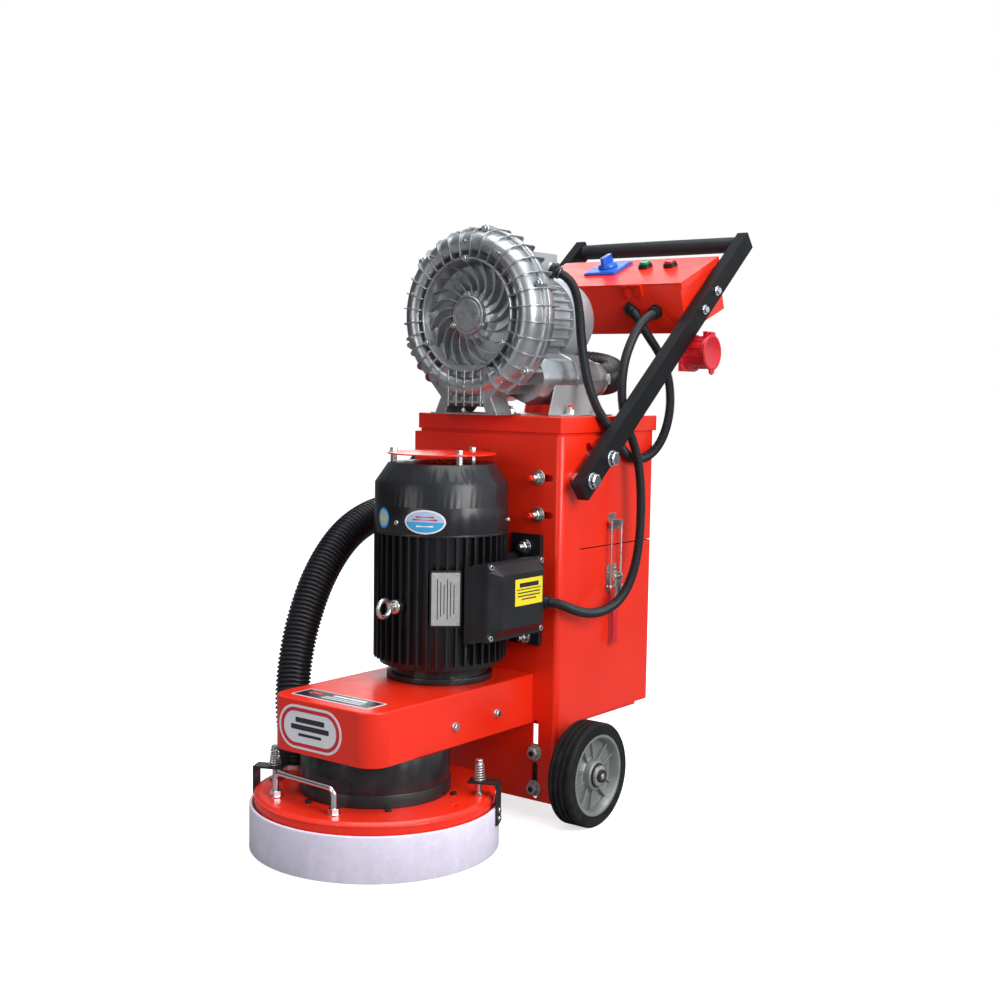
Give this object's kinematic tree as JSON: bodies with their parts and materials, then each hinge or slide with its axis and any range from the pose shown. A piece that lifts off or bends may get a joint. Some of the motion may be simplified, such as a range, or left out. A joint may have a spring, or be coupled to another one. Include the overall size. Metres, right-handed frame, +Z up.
{
  "type": "concrete grinder",
  "caption": "Walk-behind concrete grinder with a belt-driven disc, floating dust skirt, side-channel blower, filter box with drop-out bin, adjustable wheels and tilting handle.",
  "frame": {"origin": "on the floor, on the axis of the grinding spindle", "axes": "+Z up along the spindle, -Y the machine's front, +Y back to the operator, +X to the operator's left, the side of the motor's terminal box"},
  "size_m": [0.558, 1.1963, 1.175],
  "materials": {
    "red_paint": "gloss enamel",
    "black_paint": "satin enamel",
    "silver_paint": "satin enamel",
    "zinc": "zinc plated",
    "chrome_bar": "polished",
    "steel": "machined",
    "iron": "as cast",
    "cast_aluminium": "as cast",
    "white_pvc": "satin",
    "black_rubber": "matte",
    "tyre_rubber": "matte",
    "black_plastic": "satin",
    "grey_plastic": "satin",
    "red_plastic": "gloss",
    "green_plastic": "gloss",
    "blue_plastic": "gloss",
    "diamond_bond": "rough",
    "filter_cloth": "pleated"
  },
  "bodies": {
    "chassis": {"chassis_frame": "red_paint", "chassis_fasteners": "zinc", "belt_housing": "red_paint", "spindle_housing": "black_paint", "shaft_bearings": "steel", "cover_disc": "red_paint", "guide_rods": "zinc", "carry_handle": "chrome_bar", "motor_body": "black_paint", "motor_stator": "steel", "motor_cowl": "black_paint", "rain_cap": "red_paint", "lifting_eye": "zinc", "terminal_box": "black_paint", "motor_bracket": "black_paint", "drive_belts": "black_rubber", "filter_housing": "red_paint", "filter_lid": "red_paint", "filter_cartridges": "filter_cloth", "blower_casing": "cast_aluminium", "blower_motor": "silver_paint", "silencers": "cast_aluminium", "motor_conduit": "grey_plastic", "control_conduit": "grey_plastic", "dust_hose": "black_plastic", "elbow_hose": "black_plastic", "skirt_springs": "zinc"},
    "spindle": {"spindle_shaft": "steel", "tool_plate": "steel", "grinding_shoes": "diamond_bond", "driven_pulley": "iron"},
    "motor_shaft": {"motor_rotor": "steel", "drive_pulley": "iron"},
    "blower_shaft": {"blower_rotor": "cast_aluminium"},
    "skirt": {"skirt_ring": "white_pvc", "skirt_brackets": "black_paint"},
    "carriage": {"wheel_carriage": "black_paint"},
    "left_wheel": {"left_hub": "cast_aluminium", "left_tyre": "tyre_rubber"},
    "right_wheel": {"right_hub": "cast_aluminium", "right_tyre": "tyre_rubber"},
    "bin": {"dust_bin": "red_paint", "latch_bases": "zinc"},
    "left_lever": {"left_latch_lever": "red_plastic"},
    "left_loop": {"left_latch_loop": "zinc"},
    "right_lever": {"right_latch_lever": "red_plastic"},
    "right_loop": {"right_latch_loop": "zinc"},
    "handle": {"handle_arms": "black_paint", "handle_bolts": "zinc", "grip": "black_rubber", "control_box": "red_paint", "conduit_glands": "black_plastic", "power_inlet": "red_plastic", "contactor": "black_plastic"},
    "panel": {"control_lid": "red_paint", "panel_fittings": "blue_plastic"},
    "switch_knob": {"main_switch": "blue_plastic"},
    "start_cap": {"start_button": "green_plastic"},
    "stop_cap": {"stop_button": "red_plastic"},
    "socket_cap": {"inlet_cap": "red_plastic"}
  },
  "joints": [
    {"name": "spindle_spin", "type": "hinge", "parent": "chassis", "child": "spindle", "pos_m": [0, 0, 0.1], "axis": [0, 0, 1], "continuous": true},
    {"name": "motor_spin", "type": "hinge", "parent": "chassis", "child": "motor_shaft", "pos_m": [0, 0.179, 0.4], "axis": [0, 0, 1], "continuous": true},
    {"name": "blower_spin", "type": "hinge", "parent": "chassis", "child": "blower_shaft", "pos_m": [-0.0122, 0.3, 0.968], "axis": [0, 1, 0], "continuous": true},
    {"name": "skirt_float", "type": "slide", "parent": "chassis", "child": "skirt", "axis": [0, 0, 1], "range_m": [0, 0.015], "stiffness_N_per_m": 1500, "springref_m": -0.012, "deforming": ["skirt_springs"]},
    {"name": "carriage_height", "type": "slide", "parent": "chassis", "child": "carriage", "axis": [0, 0, 1], "range_m": [0, 0.044]},
    {"name": "left_wheel_roll", "type": "hinge", "parent": "carriage", "child": "left_wheel", "pos_m": [-0.244, 0.33, 0.1], "axis": [1, 0, 0], "continuous": true},
    {"name": "right_wheel_roll", "type": "hinge", "parent": "carriage", "child": "right_wheel", "pos_m": [0.244, 0.33, 0.1], "axis": [1, 0, 0], "continuous": true},
    {"name": "bin_slide", "type": "slide", "parent": "chassis", "child": "bin", "axis": [0, 1, 0], "range_m": [0, 0.3]},
    {"name": "left_lever_turn", "type": "hinge", "parent": "bin", "child": "left_lever", "pos_m": [-0.186, 0.506, 0.455], "axis": [0, 1, 0], "range_deg": [0, 120]},
    {"name": "left_loop_turn", "type": "hinge", "parent": "left_lever", "child": "left_loop", "pos_m": [-0.18426, 0.506, 0.43508], "axis": [0, 1, 0], "range_deg": [-120, 0]},
    {"name": "right_lever_turn", "type": "hinge", "parent": "bin", "child": "right_lever", "pos_m": [0.186, 0.506, 0.455], "axis": [0, -1, 0], "range_deg": [0, 120], "deforming": ["motor_conduit"]},
    {"name": "right_loop_turn", "type": "hinge", "parent": "right_lever", "child": "right_loop", "pos_m": [0.18426, 0.506, 0.43508], "axis": [0, -1, 0], "range_deg": [-120, 0]},
    {"name": "handle_tilt", "type": "hinge", "parent": "chassis", "child": "handle", "pos_m": [0, 0.3517, 0.6567], "axis": [1, 0, 0], "range_deg": [-20, 16], "deforming": ["motor_conduit", "control_conduit"]},
    {"name": "panel_open", "type": "hinge", "parent": "handle", "child": "panel", "pos_m": [0, 0.70285, 1.04855], "axis": [1, 0, 0], "range_deg": [0, 100]},
    {"name": "switch_turn", "type": "hinge", "parent": "panel", "child": "switch_knob", "pos_m": [-0.046, 0.80144, 1.11067], "axis": [0, 0.3896, -0.921], "range_deg": [0, 90]},
    {"name": "start_press", "type": "slide", "parent": "panel", "child": "start_cap", "axis": [0, 0.3896, -0.921], "range_m": [0, 0.004], "stiffness_N_per_m": 600, "springref_m": -0.003},
    {"name": "stop_press", "type": "slide", "parent": "panel", "child": "stop_cap", "axis": [0, 0.3896, -0.921], "range_m": [0, 0.004], "stiffness_N_per_m": 600, "springref_m": -0.003},
    {"name": "cap_open", "type": "hinge", "parent": "handle", "child": "socket_cap", "pos_m": [0.244, 0.752, 0.948], "axis": [0, -1, 0], "range_deg": [0, 110], "stiffness_Nm_per_rad": 0.05, "springref_deg": -28.65}
  ],
  "couplings": [
    {"joint": "motor_spin", "follows": "spindle_spin", "ratio": 2.5152},
    {"joint": "left_loop_turn", "follows": "left_lever_turn", "ratio": -1},
    {"joint": "right_loop_turn", "follows": "right_lever_turn", "ratio": -1}
  ]
}
